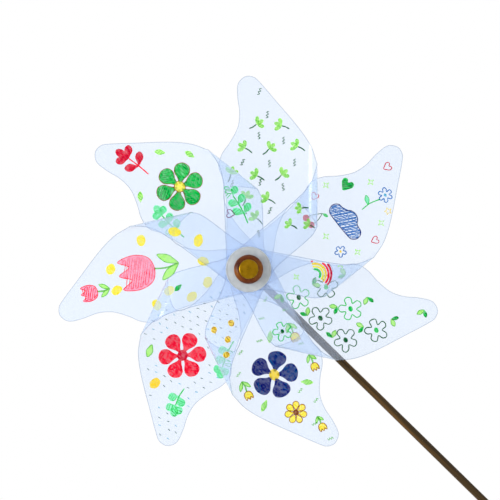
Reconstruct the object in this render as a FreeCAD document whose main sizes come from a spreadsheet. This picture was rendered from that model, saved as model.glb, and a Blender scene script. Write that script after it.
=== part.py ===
import FreeCAD, Part
import Sketcher
import math
import os

# A pinwheel: seven clear film leaves on a brass nail, with beads and washer discs, on a wooden stick.
# Millimetres. +Z runs up the stick from its sawn lower end, which is the origin. The rotor turns
# about a line along Y and faces -Y. Depths along the nail are measured forwards, towards -Y.

V = FreeCAD.Vector
doc = FreeCAD.newDocument("pinwheel")
sheet = doc.addObject("Spreadsheet::Sheet", "sizes")

SIZES = {
    "stick_length": 360.0,
    "stick_radius": 2.5,
    "stick_top_radius": 2.4,
    "grip_length": 80.0,
    "stick_end_round": 0.6,
    "hub_height": 350.0,
    "nail_radius": 0.8,
    "nail_embed": 1.6,
    "nail_head_radius": 6.0,
    "nail_head_height": 2.8,
    "nail_rim_height": 0.5,
    "running_gap": 0.08,
    "axial_gap": 0.3,
    "front_bead_radius": 9.0,
    "front_bead_length": 7.0,
    "rear_bead_radius": 5.0,
    "rear_bead_length": 6.0,
    "bead_face_share": 0.62,
    "disc_radius": 14.0,
    "disc_thickness": 1.0,
    "disc_edge_round": 0.25,
    "spacer_radius": 3.0,
    "blade_count": 7.0,
    "rest_turn": 45.5,
    "film": 0.25,
    "film_pitch": 0.3,
    "rise_start": 13.6,
    "rise_radius": 40.0,
    "rise_angle": 16.0,
    "curl_reach": 42.8,
    "curl_radius": 8.4,
    "fall_start": 26.0,
    "fall_angle": 35.0,
    "tab_radius": 13.5,
    "flap_angle": 41.3,
    "blade_length": 121.0,
    "blank_margin": 8.0,
}
for row, (alias, value) in enumerate(SIZES.items(), start=1):
    sheet.set(f"A{row}", alias)
    sheet.set(f"B{row}", str(value))
    sheet.setAlias(f"B{row}", alias)
doc.recompute()


def size(alias):
    """The value of one sheet cell."""
    return float(sheet.get(alias))


def sine(alias):
    return math.sin(math.radians(size(alias)))


def cosine(alias):
    return math.cos(math.radians(size(alias)))


def new_body(label):
    body = doc.addObject("PartDesign::Body", label)
    body.Label = label
    return body


def new_sketch(body, name, plane, offset=None):
    """A sketch on one of the body's own origin planes, moved along the plane's normal by offset."""
    sketch = body.newObject("Sketcher::SketchObject", f"{body.Name}_{name}")
    support = [f for f in body.Origin.OriginFeatures if f.Role == plane][0]
    sketch.AttachmentSupport = (support, [""])
    sketch.MapMode = "FlatFace"
    if offset:
        sketch.AttachmentOffset = FreeCAD.Placement(V(0, 0, offset), FreeCAD.Rotation())
    return sketch


def line(start, end):
    return Part.LineSegment(V(start[0], start[1], 0), V(end[0], end[1], 0))


def arc(centre, radius, start, end):
    """A counter-clockwise arc between two angles in degrees."""
    circle = Part.Circle(V(centre[0], centre[1], 0), V(0, 0, 1), radius)
    return Part.ArcOfCircle(circle, math.radians(start), math.radians(end))


def spline(points, first=None, last=None):
    """A smooth curve through the points, with the end directions where they are given."""
    curve = Part.BSplineCurve()
    through = [V(p[0], p[1], 0) for p in points]
    if first is None:
        curve.interpolate(through)
    else:
        curve.interpolate(through, InitialTangent=V(*first, 0), FinalTangent=V(*last, 0))
    return curve


def loop(sketch, corners):
    """A closed chain of straight lines whose corners are tied together. Returns the lines' numbers."""
    ids = []
    for i, corner in enumerate(corners):
        following = corners[(i + 1) % len(corners)]
        ids.append(sketch.addGeometry(line(corner, following), False))
    for i, this in enumerate(ids):
        following = ids[(i + 1) % len(ids)]
        sketch.addConstraint(Sketcher.Constraint("Coincident", this, 2, following, 1))
    return ids


def bind(sketch, kind, items, value, expression):
    """A dimension that follows an expression of sheet cells."""
    index = sketch.addConstraint(Sketcher.Constraint(kind, *items, value))
    sketch.setExpression(f"Constraints[{index}]", expression)


def revolve(body, sketch, axis):
    feature = body.newObject("PartDesign::Revolution", f"{body.Name}_turned")
    feature.Profile = sketch
    feature.ReferenceAxis = (sketch, [axis])
    feature.Angle = 360
    sketch.Visibility = False
    return feature


def pocket(body, sketch, depth, towards_normal):
    """Cuts the sketch into the body. Checks that it removed something."""
    before = body.Shape.Volume
    feature = body.newObject("PartDesign::Pocket", f"{sketch.Name}_cut")
    feature.Profile = sketch
    feature.Length = depth
    feature.Reversed = towards_normal
    doc.recompute()
    if not body.Shape.Volume < before:
        raise RuntimeError(f"{feature.Name} cuts nothing")
    return feature


# ---------------------------------------------------------------- places along the nail
film_stack = (size("blade_count") - 1) * size("film_pitch") + size("film")
layer_gap = size("film_pitch") - size("film")
rear_bead_back = size("stick_radius") + size("axial_gap")
rear_disc_back = rear_bead_back + size("rear_bead_length") + size("axial_gap")
base_back = rear_disc_back + size("disc_thickness") + layer_gap
spacer_back = base_back + film_stack + layer_gap

# The leaf's section, by distance from the hub (x) and height in front of its base tab (w):
# flat, a gentle rise, a straight slope, the curl, a gentle fall, and flat again over the hub.
rise_end_x = size("rise_start") + size("rise_radius") * sine("rise_angle")
rise_end_w = size("rise_radius") * (1 - cosine("rise_angle"))
curl_centre_x = size("curl_reach") - size("curl_radius")
slope_end_x = curl_centre_x + size("curl_radius") * sine("rise_angle")
slope_end_w = rise_end_w + (slope_end_x - rise_end_x) * sine("rise_angle") / cosine("rise_angle")
curl_centre_w = slope_end_w + size("curl_radius") * cosine("rise_angle")
fall_radius = (curl_centre_x - size("fall_start")) / sine("fall_angle") + size("curl_radius")
flap_w = (curl_centre_w + size("curl_radius") * cosine("fall_angle")
          + fall_radius * (1 - cosine("fall_angle")))

flap_back = base_back + flap_w
front_disc_back = flap_back + film_stack + layer_gap
front_bead_back = front_disc_back + size("disc_thickness") + size("axial_gap")
head_back = front_bead_back + size("front_bead_length") + size("axial_gap")


# ---------------------------------------------------------------- stick and nail
def make_stick():
    """A wooden dowel: parallel at the grip, then a faint taper to a rounded top, with the nail's hole."""
    body = new_body("stick")
    sketch = new_sketch(body, "profile", "XZ_Plane")
    top = size("stick_length")
    shoulder = top - size("stick_end_round")
    corners = [
        (0, 0),
        (size("stick_radius"), 0),
        (size("stick_radius"), size("grip_length")),
        (size("stick_top_radius"), shoulder),
        (size("stick_top_radius") - size("stick_end_round"), top),
        (0, top),
    ]
    ids = loop(sketch, corners)
    sketch.addConstraint(Sketcher.Constraint("Horizontal", ids[0]))
    sketch.addConstraint(Sketcher.Constraint("Vertical", ids[1]))
    sketch.addConstraint(Sketcher.Constraint("Horizontal", ids[4]))
    sketch.addConstraint(Sketcher.Constraint("Coincident", ids[0], 1, -1, 1))
    sketch.addConstraint(Sketcher.Constraint("Vertical", ids[5]))
    bind(sketch, "DistanceX", (-1, 1, ids[0], 2), corners[1][0], "sizes.stick_radius")
    bind(sketch, "DistanceY", (-1, 1, ids[1], 2), corners[2][1], "sizes.grip_length")
    bind(sketch, "DistanceX", (-1, 1, ids[2], 2), corners[3][0], "sizes.stick_top_radius")
    bind(sketch, "DistanceY", (-1, 1, ids[2], 2), corners[3][1],
         "sizes.stick_length - sizes.stick_end_round")
    bind(sketch, "DistanceX", (-1, 1, ids[3], 2), corners[4][0],
         "sizes.stick_top_radius - sizes.stick_end_round")
    bind(sketch, "DistanceY", (-1, 1, ids[3], 2), corners[4][1], "sizes.stick_length")
    revolve(body, sketch, "V_Axis")
    doc.recompute()
    hole = new_sketch(body, "nail_hole", "XZ_Plane", -size("nail_embed"))
    ring = hole.addGeometry(Part.Circle(V(0, size("hub_height"), 0), V(0, 0, 1), size("nail_radius")))
    bind(hole, "Radius", (ring,), size("nail_radius"), "sizes.nail_radius")
    bind(hole, "DistanceY", (-1, 1, ring, 3), size("hub_height"), "sizes.hub_height")
    pocket(body, hole, 2 * size("stick_radius"), True)
    return body


def place_on_axle(body, depth=0.0, turn=0.0):
    """Puts a piece that was drawn about the Y axis on the axle line, turned clockwise as seen from the front."""
    rotation = FreeCAD.Rotation(V(0, 1, 0), turn)
    body.Placement = FreeCAD.Placement(V(0, -depth, size("hub_height")), rotation)


def make_nail():
    """A brass nail with a low domed head: the rotor's axle."""
    body = new_body("axle_nail")
    sketch = new_sketch(body, "profile", "XY_Plane")
    head, rim = size("nail_head_radius"), size("nail_rim_height")
    crown = size("nail_head_height")
    embed, shank = size("nail_embed"), size("nail_radius")
    dome_rise = crown - rim
    dome_radius = (head * head + dome_rise * dome_rise) / (2 * dome_rise)
    dome_y = -(head_back + crown) + dome_radius
    edge_angle = math.degrees(math.atan2(-(head_back + rim) - dome_y, head))
    corners = [(0, embed), (shank, embed), (shank, -head_back), (head, -head_back),
               (head, -(head_back + rim))]
    for start, end in zip(corners, corners[1:]):
        sketch.addGeometry(line(start, end), False)
    sketch.addGeometry(arc((0, dome_y), dome_radius, 270, 360 + edge_angle), False)
    sketch.addGeometry(line((0, -(head_back + crown)), corners[0]), False)
    bind(sketch, "Distance", (0,), shank, "sizes.nail_radius")
    bind(sketch, "Distance", (2,), head - shank, "sizes.nail_head_radius - sizes.nail_radius")
    bind(sketch, "Distance", (3,), rim, "sizes.nail_rim_height")
    revolve(body, sketch, "V_Axis")
    place_on_axle(body)
    return body


# ---------------------------------------------------------------- beads, discs and spacer
def make_bead(label, radius, length, depth):
    """A turned bead: flat ends, a round belly, and a bore that runs on the nail."""
    body = new_body(label)
    sketch = new_sketch(body, "profile", "XY_Plane")
    bore = size("nail_radius") + size("running_gap")
    outer, thick = size(radius), size(length)
    face = outer * size("bead_face_share")
    left = sketch.addGeometry(line((bore, 0), (face, 0)), False)
    belly = Part.Arc(V(face, 0, 0), V(outer, -thick / 2, 0), V(face, -thick, 0))
    sketch.addGeometry(belly, False)
    sketch.addGeometry(line((face, -thick), (bore, -thick)), False)
    wall = sketch.addGeometry(line((bore, -thick), (bore, 0)), False)
    bind(sketch, "Distance", (left,), face - bore,
         f"sizes.{radius} * sizes.bead_face_share - sizes.nail_radius - sizes.running_gap")
    bind(sketch, "Distance", (wall,), thick, f"sizes.{length}")
    revolve(body, sketch, "V_Axis")
    place_on_axle(body, depth)
    return body


def make_ring(label, radius, length, depth, edge_round=None):
    """A flat disc or a tube with a bore for the nail."""
    body = new_body(label)
    sketch = new_sketch(body, "profile", "XZ_Plane")
    bore = size("nail_radius") + size("running_gap")
    rim = sketch.addGeometry(Part.Circle(V(0, 0, 0), V(0, 0, 1), size(radius)), False)
    eye = sketch.addGeometry(Part.Circle(V(0, 0, 0), V(0, 0, 1), bore), False)
    for ring in (rim, eye):
        sketch.addConstraint(Sketcher.Constraint("Coincident", ring, 3, -1, 1))
    bind(sketch, "Radius", (rim,), size(radius), f"sizes.{radius}")
    bind(sketch, "Radius", (eye,), bore, "sizes.nail_radius + sizes.running_gap")
    pad = body.newObject("PartDesign::Pad", f"{label}_pad")
    pad.Profile = sketch
    if isinstance(length, str):
        pad.setExpression("Length", f"sizes.{length}")
    else:
        pad.Length = length
    doc.recompute()
    if edge_round:
        wide = [f"Edge{i + 1}" for i, e in enumerate(body.Shape.Edges)
                if isinstance(e.Curve, Part.Circle) and abs(e.Curve.Radius - size(radius)) < 1e-6]
        fillet = body.newObject("PartDesign::Fillet", f"{label}_edges")
        fillet.Base = (pad, wide)
        fillet.setExpression("Radius", f"sizes.{edge_round}")
    place_on_axle(body, depth)
    return body


# ---------------------------------------------------------------- film leaves
# Each leaf is drawn with its tip up (+Z), its curl at +X and y = 0 through the curl's foremost reach,
# so the base film lies behind that plane and the flap in front of it.
OUTER_EDGE = [(7.0, 117.8), (17.5, 105.6), (32.1, 87.9), (39.4, 76.4), (42.8, 65.6)]
LEFT_EDGE = [(-13.5, 40.0), (-15.6, 56.0), (-18.6, 64.5), (-16.4, 72.6), (-11.4, 79.8),
             (-6.6, 89.0), (-5.4, 98.0), (-6.6, 108.0)]
TIP = [(-6.6, 108.0), (-6.2, 116.6), (-1.6, 121.0), (3.6, 120.6), (7.0, 117.8)]
NOTCH = [(42.8, 26.6), (39.4, 33.0), (35.0, 38.4), (31.0, 41.6), (27.4, 41.2), (24.2, 38.0),
         (20.4, 31.0), (17.4, 21.5), (15.6, 10.0), (13.5, 0.0)]
FLAP_TOP = [(42.8, 65.6), (39.2, 54.8), (34.2, 47.8), (27.4, 41.2)]
FLAP_FOOT = [(24.0, 7.4), (39.2, 20.6), (42.8, 26.6)]
FLAP_NECK = 10.4


def section_side(side):
    """The pieces of one face of the bent film: side is +1 behind it and -1 in front of it."""
    shift = side * size("film") / 2
    rise, curl, fall = size("rise_radius"), size("curl_radius"), fall_radius
    start_x = -size("curl_reach") / 2 - size("blank_margin")
    base_y = curl_centre_w
    fall_y = base_y - flap_w + fall
    up, down = size("rise_angle"), size("fall_angle")
    rise_foot = (size("rise_start"), base_y + shift)
    rise_top = (size("rise_start") + (rise + shift) * sine("rise_angle"),
                base_y - rise + (rise + shift) * cosine("rise_angle"))
    curl_foot = (curl_centre_x + (curl + shift) * sine("rise_angle"),
                 (curl + shift) * cosine("rise_angle"))
    flap_end = (size("fall_start"), fall_y - fall - shift)
    return [
        line((start_x, base_y + shift), rise_foot),
        arc((size("rise_start"), base_y - rise), rise + shift, 90 - up, 90),
        line(rise_top, curl_foot),
        arc((curl_centre_x, 0), curl + shift, down - 90, 90 - up),
        arc((size("fall_start"), fall_y), fall + shift, 270, 270 + down),
        line(flap_end, (start_x, flap_end[1])),
    ]


def make_section(body):
    """The closed section of the bent film, on a plane below the leaf."""
    sketch = new_sketch(body, "section", "XY_Plane", -(size("tab_radius") + size("blank_margin")))
    names = ("rise", "curl", "fall")
    radii = ("sizes.rise_radius", "sizes.curl_radius",
             "(sizes.curl_reach - sizes.curl_radius - sizes.fall_start)"
             " / sin(sizes.fall_angle * 1 deg) + sizes.curl_radius")
    ends = []
    for side, sign in ((1, "+"), (-1, "-")):
        pieces = section_side(side)
        ids = [sketch.addGeometry(piece, False) for piece in pieces]
        for name, number, radius in zip(names, (1, 3, 4), radii):
            value = pieces[number].Radius
            bind(sketch, "Radius", (ids[number],), value, f"{radius} {sign} sizes.film / 2")
        for flat in (0, 5):
            sketch.addConstraint(Sketcher.Constraint("Horizontal", ids[flat]))
        ends.append((pieces[0].StartPoint, pieces[-1].EndPoint))
    for back, front in zip(*ends):
        cap = sketch.addGeometry(Part.LineSegment(back, front), False)
        bind(sketch, "Distance", (cap,), size("film"), "sizes.film")
    return sketch


def trim_sheet(body, name, outline):
    """A sketch that covers the blank outside the outline, and the nail's hole inside it."""
    sketch = new_sketch(body, name, "XZ_Plane")
    margin = 2 * size("blank_margin")
    wide, low = size("curl_reach") + margin, -size("tab_radius") - margin
    high = size("blade_length") + margin
    loop(sketch, [(-wide, low), (wide, low), (wide, high), (-wide, high)])
    hole = Part.Circle(V(0, 0, 0), V(0, 0, 1), size("nail_radius") + size("running_gap"))
    eye = sketch.addGeometry(hole, False)
    sketch.addConstraint(Sketcher.Constraint("Coincident", eye, 3, -1, 1))
    bind(sketch, "Radius", (eye,), hole.Radius, "sizes.nail_radius + sizes.running_gap")
    tab = sketch.addGeometry(outline[0], False)
    sketch.addConstraint(Sketcher.Constraint("Coincident", tab, 3, -1, 1))
    bind(sketch, "Radius", (tab,), size("tab_radius"), "sizes.tab_radius")
    for piece in outline[1:]:
        sketch.addGeometry(piece, False)
    return sketch


def base_outline():
    """The leaf's back half: base tab, left edge, tip, outer edge, and the notch beside the tab."""
    tab = size("tab_radius")
    beyond = size("curl_reach") + size("blank_margin") / 2
    top, bottom = OUTER_EDGE[-1][1], NOTCH[0][1]
    slope = (OUTER_EDGE[1][0] - OUTER_EDGE[0][0], OUTER_EDGE[1][1] - OUTER_EDGE[0][1])
    return [
        arc((0, 0), tab, 180, 360),
        line((-tab, 0), LEFT_EDGE[0]),
        spline(LEFT_EDGE, (0, 1), (-0.1, 1)),
        spline(TIP, (-0.1, 1), slope),
        spline(OUTER_EDGE, slope, (0, -1)),
        line(OUTER_EDGE[-1], (beyond, top)),
        line((beyond, top), (beyond, bottom)),
        line((beyond, bottom), NOTCH[0]),
        spline(NOTCH, (0, 1), (0, -1)),
    ]


def flap_outline():
    """The leaf's front half: the flap, which narrows from the curl and ends in a round tab on the nail."""
    tab, turn = size("tab_radius"), size("flap_angle")
    along = (cosine("flap_angle"), sine("flap_angle"))
    across = (-along[1], along[0])
    beyond = size("curl_reach") + size("blank_margin") / 2
    top, bottom = FLAP_TOP[0][1], FLAP_FOOT[-1][1]
    upper = (tab * across[0], tab * across[1])
    lower = (-upper[0], -upper[1])
    neck = (along[0] * tab - FLAP_NECK * across[0], along[1] * tab - FLAP_NECK * across[1])
    return [
        arc((0, 0), tab, 90 + turn, 270 + turn),
        line(upper, FLAP_TOP[-1]),
        spline(FLAP_TOP[::-1], along, (0, 1)),
        line(FLAP_TOP[0], (beyond, top)),
        line((beyond, top), (beyond, bottom)),
        line((beyond, bottom), FLAP_FOOT[-1]),
        spline([lower, neck] + FLAP_FOOT, along, (0, 1)),
    ]


def make_blade(number):
    """One leaf. Blade 1's tabs are foremost, and each next blade clockwise is one film behind."""
    body = new_body(f"blade_{number}")
    pad = body.newObject("PartDesign::Pad", f"{body.Name}_blank")
    pad.Profile = make_section(body)
    pad.setExpression("Length", "sizes.blade_length + sizes.tab_radius + 2 * sizes.blank_margin")
    doc.recompute()
    depth = flap_w + size("blank_margin")
    pocket(body, trim_sheet(body, "base_trim", base_outline()), depth, False)
    pocket(body, trim_sheet(body, "flap_trim", flap_outline()), depth, True)
    level = base_back + size("film") / 2 + (size("blade_count") - number) * size("film_pitch")
    turn = size("rest_turn") + (number - 1) * 360 / size("blade_count")
    place_on_axle(body, level + curl_centre_w, turn)
    return body


# ---------------------------------------------------------------- the assembly
subparts = [
    make_stick(),
    make_nail(),
    make_bead("rear_bead", "rear_bead_radius", "rear_bead_length", rear_bead_back),
    make_ring("rear_disc", "disc_radius", "disc_thickness", rear_disc_back, "disc_edge_round"),
    make_ring("spacer_tube", "spacer_radius", flap_w - film_stack - 2 * layer_gap, spacer_back),
    make_ring("front_disc", "disc_radius", "disc_thickness", front_disc_back, "disc_edge_round"),
    make_bead("front_bead", "front_bead_radius", "front_bead_length", front_bead_back),
]
subparts += [make_blade(number) for number in range(1, int(size("blade_count")) + 1)]
doc.recompute()

for thing in doc.Objects:
    if "Invalid" in thing.State or "Error" in thing.State:
        raise RuntimeError(f"{thing.Name} failed: {thing.State}")
for part in subparts:
    if part.Shape.isNull() or not part.Shape.isValid() or len(part.Shape.Solids) != 1:
        raise RuntimeError(f"{part.Label} is not one valid solid")

os.makedirs("parts", exist_ok=True)
for part in subparts:
    part.Shape.exportStep(f"parts/{part.Label}.step")
    box = part.Shape.BoundBox
    print(f"{part.Label:14s} {part.Shape.Volume:10.2f} mm3  x {box.XMin:8.2f} {box.XMax:8.2f}"
          f"  y {box.YMin:8.2f} {box.YMax:8.2f}  z {box.ZMin:8.2f} {box.ZMax:8.2f}")
print(f"flap height {flap_w:.2f}, curl centre {curl_centre_w:.2f}, fall radius {fall_radius:.2f}")
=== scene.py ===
import random
from math import asin, ceil, cos, degrees, exp, hypot, pi, radians, sin, tan, tau

import bmesh
import bpy
import numpy as np
from mathutils import Matrix, Vector
from mathutils.geometry import delaunay_2d_cdt
from mathutils.noise import noise


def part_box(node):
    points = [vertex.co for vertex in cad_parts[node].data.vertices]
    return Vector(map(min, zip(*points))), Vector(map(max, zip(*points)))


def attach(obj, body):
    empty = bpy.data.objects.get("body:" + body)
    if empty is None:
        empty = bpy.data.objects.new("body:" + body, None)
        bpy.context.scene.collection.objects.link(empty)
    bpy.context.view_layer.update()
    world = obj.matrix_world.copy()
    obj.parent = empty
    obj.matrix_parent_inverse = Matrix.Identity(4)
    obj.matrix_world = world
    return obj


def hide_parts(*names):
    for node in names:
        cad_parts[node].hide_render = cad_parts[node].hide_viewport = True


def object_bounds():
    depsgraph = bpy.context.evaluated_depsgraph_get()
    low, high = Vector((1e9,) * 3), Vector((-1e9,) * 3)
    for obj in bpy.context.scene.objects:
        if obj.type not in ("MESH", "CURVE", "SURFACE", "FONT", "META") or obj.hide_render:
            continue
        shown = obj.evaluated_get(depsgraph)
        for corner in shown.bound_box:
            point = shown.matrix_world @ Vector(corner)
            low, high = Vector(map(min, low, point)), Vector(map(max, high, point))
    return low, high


# A film pinwheel on a wooden stick. Its sizes are millimetres, which place(), turned() and dowel()
# turn into metres. The stage, light and camera are in metres.
# The rotor faces -Y, and "depth" runs forwards from the stick's axis, towards -Y.

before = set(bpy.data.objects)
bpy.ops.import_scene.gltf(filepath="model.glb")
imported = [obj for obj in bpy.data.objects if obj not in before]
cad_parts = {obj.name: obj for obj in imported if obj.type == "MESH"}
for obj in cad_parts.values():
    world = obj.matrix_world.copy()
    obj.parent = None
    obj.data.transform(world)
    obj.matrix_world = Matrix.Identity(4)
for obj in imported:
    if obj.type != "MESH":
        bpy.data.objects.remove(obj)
cad_low, cad_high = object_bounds()
MM = 0.001
rng = random.Random(7)


def depths(node):
    """How far in front of the stick's axis a CAD node starts and ends."""
    low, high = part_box(node)
    return -high.y / MM, -low.y / MM


def radius_of(node):
    """Half the width of a CAD node."""
    low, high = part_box(node)
    return (high.x - low.x) / 2 / MM


disc_low, disc_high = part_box("front_disc")
HUB_Z = (disc_low.z + disc_high.z) / 2 / MM

# ---------------- the bent film
BLADES = 7
LEAF_DEPTHS = {n: depths(f"blade_{n}")[0] for n in range(1, BLADES + 1)}
# Degrees that leaf 1 leans clockwise from straight up, seen from the front.
REST_TURN = 45.5
# The film's thickness, the radius of each bore on the nail, and the radius of a leaf's two tabs.
FILM, HOLE, TAB = 0.25, 0.88, 13.5
# Outside its tab the base film bends up into a slope.
RISE_START, RISE_RADIUS, RISE = 13.6, 40.0, radians(16)
# The slope goes round the curl, which reaches this far out.
CURL_REACH, CURL_RADIUS = 42.8, 8.4
# The flap slopes back from the curl and is level again inside this distance.
FALL_START, FALL = 26.0, radians(35)
# The flap's direction in front view, and how far below its middle line its foot leaves the tab.
FLAP_TURN, FLAP_NECK = radians(41.3), 10.4

CURL_X = CURL_REACH - CURL_RADIUS
RISE_X = RISE_START + RISE_RADIUS * sin(RISE)
RISE_W = RISE_RADIUS * (1 - cos(RISE))
SLOPE_X = CURL_X + CURL_RADIUS * sin(RISE)
CURL_W = RISE_W + (SLOPE_X - RISE_X) * tan(RISE) + CURL_RADIUS * cos(RISE)
FALL_RADIUS = (CURL_X - FALL_START) / sin(FALL) + CURL_RADIUS
FLAP_W = CURL_W + CURL_RADIUS * cos(FALL) + FALL_RADIUS * (1 - cos(FALL))
# Distances along the film at which each stretch of the section ends.
RISE_END = RISE_START + RISE_RADIUS * RISE
SLOPE_END = RISE_END + (SLOPE_X - RISE_X) / cos(RISE)
CURL_END = SLOPE_END + CURL_RADIUS * (pi - FALL - RISE)
FALL_END = CURL_END + FALL_RADIUS * FALL
FLAP_HOLE = FALL_END + FALL_START


def section(s):
    """Where the film is at the distance s from the hub: x, height above the base tab, and heading."""
    if s < RISE_START:
        return s, 0.0, 0.0
    if s < RISE_END:
        turn = (s - RISE_START) / RISE_RADIUS
        return RISE_START + RISE_RADIUS * sin(turn), RISE_RADIUS * (1 - cos(turn)), turn
    if s < SLOPE_END:
        run = s - RISE_END
        return RISE_X + run * cos(RISE), RISE_W + run * sin(RISE), RISE
    if s < CURL_END:
        turn = RISE + (s - SLOPE_END) / CURL_RADIUS
        return CURL_X + CURL_RADIUS * sin(turn), CURL_W - CURL_RADIUS * cos(turn), turn
    if s < FALL_END:
        turn = pi - FALL + (s - CURL_END) / FALL_RADIUS
        return (FALL_START + FALL_RADIUS * sin(turn),
                FLAP_W - FALL_RADIUS - FALL_RADIUS * cos(turn), turn)
    return FALL_START - (s - FALL_END), FLAP_W, pi


def along_film(x, flap):
    """The distance along the film whose front view is at x, on the base film or on the flap."""
    x = min(x, CURL_REACH)
    if flap:
        if x <= FALL_START:
            return FALL_END + FALL_START - x
        if x <= FALL_START + FALL_RADIUS * sin(FALL):
            turn = pi - asin((x - FALL_START) / FALL_RADIUS)
            return CURL_END + FALL_RADIUS * (turn - pi + FALL)
        turn = pi - asin(min(1.0, (x - CURL_X) / CURL_RADIUS))
        return SLOPE_END + CURL_RADIUS * (turn - RISE)
    if x <= RISE_START:
        return x
    if x <= RISE_X:
        return RISE_START + RISE_RADIUS * asin((x - RISE_START) / RISE_RADIUS)
    if x <= SLOPE_X:
        return RISE_END + (x - RISE_X) / cos(RISE)
    return SLOPE_END + CURL_RADIUS * (asin(min(1.0, (x - CURL_X) / CURL_RADIUS)) - RISE)


def ripple(s, t):
    """The film's slight waviness, which dies away towards the clamped hub."""
    away = min(1.0, max(0.0, (hypot(min(s, FLAP_HOLE - s), t) - 22) / 30))
    broad = noise(Vector((s / 34, t / 30, 2.0)))
    fine = noise(Vector((s / 15, t / 26, 8.0)))
    return away * (0.42 * broad + 0.12 * fine)


def place(number, s, t, lift):
    """A point of leaf `number`, in metres: s and t on the flat film, lift above its middle."""
    x, w, heading = section(s)
    lift += ripple(s, t)
    x -= lift * sin(heading)
    w += lift * cos(heading)
    turn = radians(REST_TURN + (number - 1) * 360 / BLADES)
    across = x * cos(turn) + t * sin(turn)
    up = -x * sin(turn) + t * cos(turn)
    depth = LEAF_DEPTHS[number] + FILM / 2 + w
    return Vector((across, -depth, HUB_Z + up)) * MM


# ---------------- curves and closed meshes
def smooth_path(points, closed=False, step=0.8):
    """Points about every step along a smooth curve through the given ones."""
    points = [Vector(p) for p in points]
    count = len(points)

    def at(i):
        return points[i % count] if closed else points[max(0, min(count - 1, i))]

    path = []
    for i in range(count if closed else count - 1):
        before, start, end, after = at(i - 1), at(i), at(i + 1), at(i + 2)
        span = (end - start).length
        leave = (end - before) * span / max(span + (start - before).length, 1e-6)
        arrive = (after - start) * span / max(span + (after - end).length, 1e-6)
        pieces = max(1, ceil(span / step))
        for j in range(pieces):
            f = j / pieces
            path.append(start * (2 * f ** 3 - 3 * f ** 2 + 1) + leave * (f ** 3 - 2 * f ** 2 + f)
                        + end * (3 * f ** 2 - 2 * f ** 3) + arrive * (f ** 3 - f ** 2))
    if not closed:
        path.append(points[-1])
    return path


def arc_path(centre, radius, start, end, pieces):
    """Points on an arc, angles in degrees."""
    angles = [radians(start + (end - start) * i / pieces) for i in range(pieces + 1)]
    return [Vector((centre[0] + radius * cos(a), centre[1] + radius * sin(a)))
            for a in angles]


def as_rows(points):
    """Flat points as an array with one row each."""
    return np.array([tuple(p) for p in points], float).reshape(-1, 2)


def inside(polygon, points):
    """Which of the points lie inside the polygon."""
    points = as_rows(points)
    result = np.zeros(len(points), bool)
    for a, b in zip(polygon, polygon[1:] + polygon[:1]):
        crosses = (a[1] > points[:, 1]) != (b[1] > points[:, 1])
        rise = (b[1] - a[1]) or 1e-12
        result ^= crosses & (points[:, 0] < a[0] + (points[:, 1] - a[1]) * (b[0] - a[0]) / rise)
    return result


def distance_to(polygon, points):
    """How far each point is from the polygon's edge."""
    points = as_rows(points)
    best = np.full(len(points), 1e9)
    for a, b in zip(polygon, polygon[1:] + polygon[:1]):
        a, edge = np.array(a), np.array(b) - np.array(a)
        f = np.clip((points - a) @ edge / max(edge @ edge, 1e-12), 0, 1)
        best = np.minimum(best, np.linalg.norm(points - a - f[:, None] * edge, axis=1))
    return best


def triangles(polygon, spacing, extra=(), holes=()):
    """Points and triangles that fill a flat polygon, with inner points about every spacing."""
    polygon = [tuple(p) for p in polygon]
    xs, ys = [p[0] for p in polygon], [p[1] for p in polygon]
    rows = int((max(ys) - min(ys)) / spacing) + 1
    columns = int((max(xs) - min(xs)) / spacing) + 1
    grid = [(min(xs) + (i + 0.5 * (j % 2)) * spacing, min(ys) + (j + 0.5) * spacing)
            for j in range(rows) for i in range(columns + 1)]
    loops = [polygon] + [[tuple(p) for p in hole] for hole in holes]
    keep = inside(polygon, grid)
    for ring in loops:
        keep &= distance_to(ring, grid) > spacing * 0.55
    for hole in loops[1:]:
        keep &= ~inside(hole, grid)
    flat = [p for ring in loops for p in ring]
    edges, start = [], 0
    for ring in loops:
        edges += [(start + i, start + (i + 1) % len(ring)) for i in range(len(ring))]
        start += len(ring)
    flat += [tuple(p) for p in extra] + [p for p, good in zip(grid, keep) if good]
    points, _, faces, *_ = delaunay_2d_cdt([Vector(p) for p in flat], edges, [], 1, 1e-6)
    middles = [sum((points[i] for i in face), Vector((0, 0))) / 3 for face in faces]
    for hole in loops[1:]:
        blocked = inside(hole, middles)
        faces = [f for f, bad in zip(faces, blocked) if not bad]
        middles = [m for m, bad in zip(middles, blocked) if not bad]
    return points, faces


def add_object(name, data):
    """A new object in the scene."""
    item = bpy.data.objects.new(name, data)
    bpy.context.scene.collection.objects.link(item)
    return item


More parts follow.
